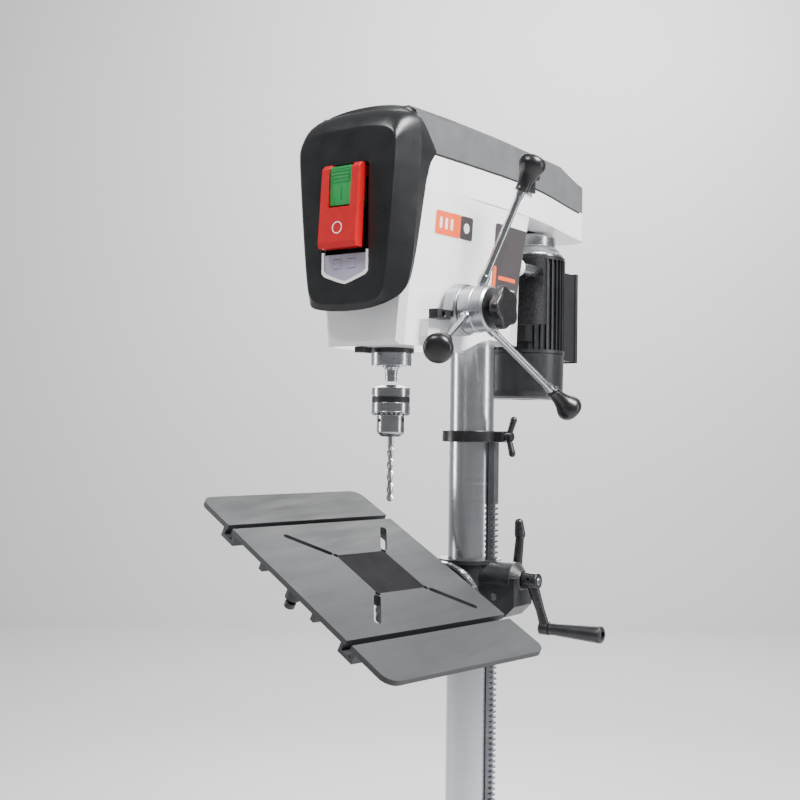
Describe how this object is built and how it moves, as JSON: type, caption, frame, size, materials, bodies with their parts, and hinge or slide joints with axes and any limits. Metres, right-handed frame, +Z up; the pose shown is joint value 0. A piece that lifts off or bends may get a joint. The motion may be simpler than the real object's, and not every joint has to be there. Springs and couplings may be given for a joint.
{
  "type": "drill press",
  "caption": "Floor-standing drill press with a belt-driven head, three-arm quill feed, drill chuck, crank-raised tilting table on a racked column and a slotted base.",
  "frame": {"origin": "on the floor plane under the base, on the column's axis", "axes": "+Z up along the column, -Y towards the operator at the front, +X to the operator's right, the side with the feed handles"},
  "size_m": [0.4735, 0.7375, 1.64],
  "materials": {
    "base_casting": "grey-black painted casting",
    "column_flange": "grey-black painted casting",
    "flange_bolts": "zinc plated",
    "column_steel": "ground tube",
    "rack_steel": "milled bar",
    "black_paint": "satin black",
    "black_casting": "textured black paint",
    "gear_steel": "cut and oiled",
    "bolt_steel": "zinc plated",
    "scale_metal": "satin printed strip",
    "table_iron": "ground grey iron",
    "insert_black": "black insert",
    "black_plastic": "satin black",
    "white_paint": "white semi-gloss paint",
    "bezel_black": "satin black moulding",
    "lilac_plastic": "lilac grey",
    "red_plastic": "red moulding",
    "green_plastic": "green moulding",
    "grey_plastic": "grained grey moulding",
    "pulley_aluminium": "turned",
    "belt_rubber": "matte",
    "plate_steel": "black paint",
    "bar_steel": "ground bar",
    "motor_black": "black paint",
    "bell_aluminium": "cast aluminium",
    "rotor_steel": "turned",
    "box_black": "black moulding",
    "quill_steel": "ground",
    "bearing_steel": "polished",
    "spindle_steel": "turned",
    "chuck_steel": "satin turned steel",
    "jaw_steel": "hardened",
    "bit_steel": "bright high-speed steel",
    "hub_metal": "satin grey metal",
    "ring_metal": "satin grey metal",
    "handle_chrome": "polished",
    "knob_black": "black moulding",
    "spring_steel": "blued strip"
  },
  "bodies": {
    "frame": {"base": "base_casting", "column_flange": "column_flange", "flange_bolts": "flange_bolts", "column": "column_steel", "rack_collar": "black_paint", "head_casting": "white_paint", "front_bezel": "bezel_black", "switch_housing": "lilac_plastic", "work_light": "black_plastic", "quill_seal": "black_plastic", "depth_pointer": "black_plastic", "drive_belts": "belt_rubber", "return_spring": "spring_steel", "spring_cap": "black_paint", "cable_gland": "black_plastic"},
    "rack_ring": {"rack": "rack_steel"},
    "bracket": {"table_bracket": "black_casting", "tilt_scale": "scale_metal", "table_pivot_bolt": "bolt_steel"},
    "crank": {"table_worm_shaft": "gear_steel", "crank_arm": "black_paint"},
    "lift_gear": {"table_gear": "gear_steel"},
    "grip": {"crank_grip": "black_plastic"},
    "column_clamp": {"column_clamp_lever": "black_paint"},
    "collar_screw": {"collar_wing_screw": "black_paint"},
    "work_table": {"table": "table_iron"},
    "insert": {"table_insert": "insert_black"},
    "under_table_knob": {"table_knob": "black_plastic"},
    "quill_group": {"quill": "quill_steel", "quill_bearings": "bearing_steel"},
    "spindle_group": {"spindle": "spindle_steel", "chuck_body": "chuck_steel", "drill_bit": "bit_steel"},
    "sleeve": {"chuck_sleeve": "chuck_steel"},
    "jaw_1": {"chuck_jaw_1": "jaw_steel"},
    "jaw_2": {"chuck_jaw_2": "jaw_steel"},
    "jaw_3": {"chuck_jaw_3": "jaw_steel"},
    "feed": {"feed_shaft": "spindle_steel", "feed_hub": "hub_metal", "feed_handles": "handle_chrome", "handle_knobs": "knob_black"},
    "depth_dial": {"depth_ring": "ring_metal"},
    "lock_knob": {"hub_knob": "knob_black"},
    "start": {"start_button": "green_plastic"},
    "stop": {"stop_paddle": "red_plastic"},
    "rocker_left": {"left_rocker": "black_plastic"},
    "rocker_right": {"right_rocker": "black_plastic"},
    "cover": {"belt_cover": "grey_plastic"},
    "latch": {"cover_latch": "black_plastic"},
    "belt_lever": {"tension_lever": "black_paint"},
    "motor": {"motor_plate": "plate_steel", "slide_bars": "bar_steel", "motor_body": "motor_black", "motor_end_bell": "bell_aluminium", "fan_cowl": "motor_black", "capacitor_box": "box_black"},
    "rotor": {"motor_rotor": "rotor_steel", "motor_pulley": "pulley_aluminium"},
    "idler": {"idler_pulley": "pulley_aluminium"},
    "spindle_drive": {"spindle_pulley": "pulley_aluminium"}
  },
  "joints": [
    {"name": "table_swing", "type": "hinge", "parent": "frame", "child": "rack_ring", "pos_m": [0, 0, 0.92], "axis": [0, 0, -1], "range_deg": [-50, 90]},
    {"name": "table_lift", "type": "slide", "parent": "rack_ring", "child": "bracket", "axis": [0, 0, 1], "range_m": [-0.68, 0.07]},
    {"name": "crank_turn", "type": "hinge", "parent": "bracket", "child": "crank", "pos_m": [0.12, -0.005, 0.94], "axis": [1, 0, 0], "range_deg": [-2870, 27835]},
    {"name": "lift_gear_turn", "type": "hinge", "parent": "bracket", "child": "lift_gear", "pos_m": [0.0623, -0.005, 0.91279], "axis": [0, 1, 0], "range_deg": [-240, 2320]},
    {"name": "crank_grip_spin", "type": "hinge", "parent": "crank", "child": "grip", "pos_m": [0.19, 0.0053, 0.86672], "axis": [1, 0, 0], "continuous": true},
    {"name": "column_clamp", "type": "hinge", "parent": "bracket", "child": "column_clamp", "pos_m": [0, 0.058, 0.916], "axis": [1, 0, 0], "range_deg": [-75, 12]},
    {"name": "collar_clamp", "type": "hinge", "parent": "frame", "child": "collar_screw", "pos_m": [0.06, 0, 1.165], "axis": [1, 0, 0], "range_deg": [-20, 360]},
    {"name": "table_tilt", "type": "hinge", "parent": "bracket", "child": "work_table", "pos_m": [0, 0, 0.926], "axis": [0.1513, 0.9885, 0], "range_deg": [-72.9, 17.1]},
    {"name": "insert_lift", "type": "slide", "parent": "work_table", "child": "insert", "axis": [0.4625, -0.0708, 0.8838], "range_m": [0, 0.02]},
    {"name": "table_knob_turn", "type": "hinge", "parent": "work_table", "child": "under_table_knob", "pos_m": [-0.05861, -0.38304, 0.926], "axis": [0.4625, -0.0708, 0.8838], "range_deg": [0, 360]},
    {"name": "feed_turn", "type": "hinge", "parent": "frame", "child": "feed", "pos_m": [0.12, -0.187, 1.35], "axis": [1, 0, 0], "range_deg": [0, 382], "stiffness_Nm_per_rad": 0.15, "springref_deg": -343.77},
    {"name": "quill_feed", "type": "slide", "parent": "frame", "child": "quill_group", "axis": [0, 0, -1], "range_m": [0, 0.08]},
    {"name": "depth_set", "type": "hinge", "parent": "feed", "child": "depth_dial", "pos_m": [0.0977, -0.187, 1.35], "axis": [1, 0, 0], "range_deg": [0, 340]},
    {"name": "dial_lock", "type": "hinge", "parent": "feed", "child": "lock_knob", "pos_m": [0.165, -0.187, 1.35], "axis": [1, 0, 0], "range_deg": [0, 360]},
    {"name": "motor_spin", "type": "hinge", "parent": "motor", "child": "rotor", "pos_m": [0, 0.17, 1.4], "axis": [0, 0, 1], "continuous": true},
    {"name": "idler_spin", "type": "hinge", "parent": "frame", "child": "idler", "pos_m": [0, -0.026, 1.56], "axis": [0, 0, 1], "continuous": true},
    {"name": "spindle_pulley_spin", "type": "hinge", "parent": "frame", "child": "spindle_drive", "pos_m": [0, -0.2275, 1.56], "axis": [0, 0, 1], "continuous": true},
    {"name": "spindle_spin", "type": "hinge", "parent": "quill_group", "child": "spindle_group", "pos_m": [0, -0.2275, 1.3], "axis": [0, 0, 1], "continuous": true},
    {"name": "chuck_key_turn", "type": "hinge", "parent": "spindle_group", "child": "sleeve", "pos_m": [0, -0.2275, 1.21], "axis": [0, 0, 1], "range_deg": [0, 3000]},
    {"name": "jaw_1_slide", "type": "slide", "parent": "spindle_group", "child": "jaw_1", "axis": [0.2241, 0.1294, 0.9659], "range_m": [0, 0.0126]},
    {"name": "jaw_2_slide", "type": "slide", "parent": "spindle_group", "child": "jaw_2", "axis": [-0.2241, 0.1294, 0.9659], "range_m": [0, 0.0126]},
    {"name": "jaw_3_slide", "type": "slide", "parent": "spindle_group", "child": "jaw_3", "axis": [0, -0.2588, 0.9659], "range_m": [0, 0.0126]},
    {"name": "start_press", "type": "slide", "parent": "frame", "child": "start", "axis": [0, 1, 0], "range_m": [0, 0.004], "stiffness_N_per_m": 600, "springref_m": -0.002},
    {"name": "stop_press", "type": "hinge", "parent": "frame", "child": "stop", "pos_m": [0, -0.327, 1.537], "axis": [1, 0, 0], "range_deg": [0, 5], "stiffness_Nm_per_rad": 1.2, "springref_deg": -8.59},
    {"name": "left_rocker_tip", "type": "hinge", "parent": "frame", "child": "rocker_left", "pos_m": [-0.014, -0.3365, 1.406], "axis": [1, 0, 0], "range_deg": [-7, 7], "stiffness_Nm_per_rad": 0.02},
    {"name": "right_rocker_tip", "type": "hinge", "parent": "frame", "child": "rocker_right", "pos_m": [0.011, -0.3365, 1.406], "axis": [1, 0, 0], "range_deg": [-7, 7], "stiffness_Nm_per_rad": 0.02},
    {"name": "cover_open", "type": "hinge", "parent": "frame", "child": "cover", "pos_m": [-0.102, -0.07, 1.568], "axis": [0, -1, 0], "range_deg": [0, 80]},
    {"name": "latch_turn", "type": "hinge", "parent": "cover", "child": "latch", "pos_m": [0.1, 0.007, 1.582], "axis": [1, 0, 0], "range_deg": [0, 90]},
    {"name": "belt_lever_turn", "type": "hinge", "parent": "frame", "child": "belt_lever", "pos_m": [-0.1, -0.014, 1.44], "axis": [1, 0, 0], "range_deg": [0, 50]},
    {"name": "motor_slide", "type": "slide", "parent": "frame", "child": "motor", "axis": [0, -1, 0], "range_m": [0, 0.01]}
  ],
  "couplings": [
    {"joint": "crank_turn", "follows": "table_lift", "rad_per_m": -714.29},
    {"joint": "lift_gear_turn", "follows": "table_lift", "rad_per_m": -59.524},
    {"joint": "feed_turn", "follows": "quill_feed", "rad_per_m": 83.333},
    {"joint": "idler_spin", "follows": "motor_spin", "ratio": 1.0321},
    {"joint": "spindle_pulley_spin", "follows": "motor_spin", "ratio": 1.3055},
    {"joint": "spindle_spin", "follows": "motor_spin", "ratio": 1.3055},
    {"joint": "jaw_1_slide", "follows": "chuck_key_turn", "m_per_rad": 0.000239},
    {"joint": "jaw_2_slide", "follows": "chuck_key_turn", "m_per_rad": 0.000239},
    {"joint": "jaw_3_slide", "follows": "chuck_key_turn", "m_per_rad": 0.000239},
    {"joint": "belt_lever_turn", "follows": "motor_slide", "rad_per_m": 87.266}
  ]
}
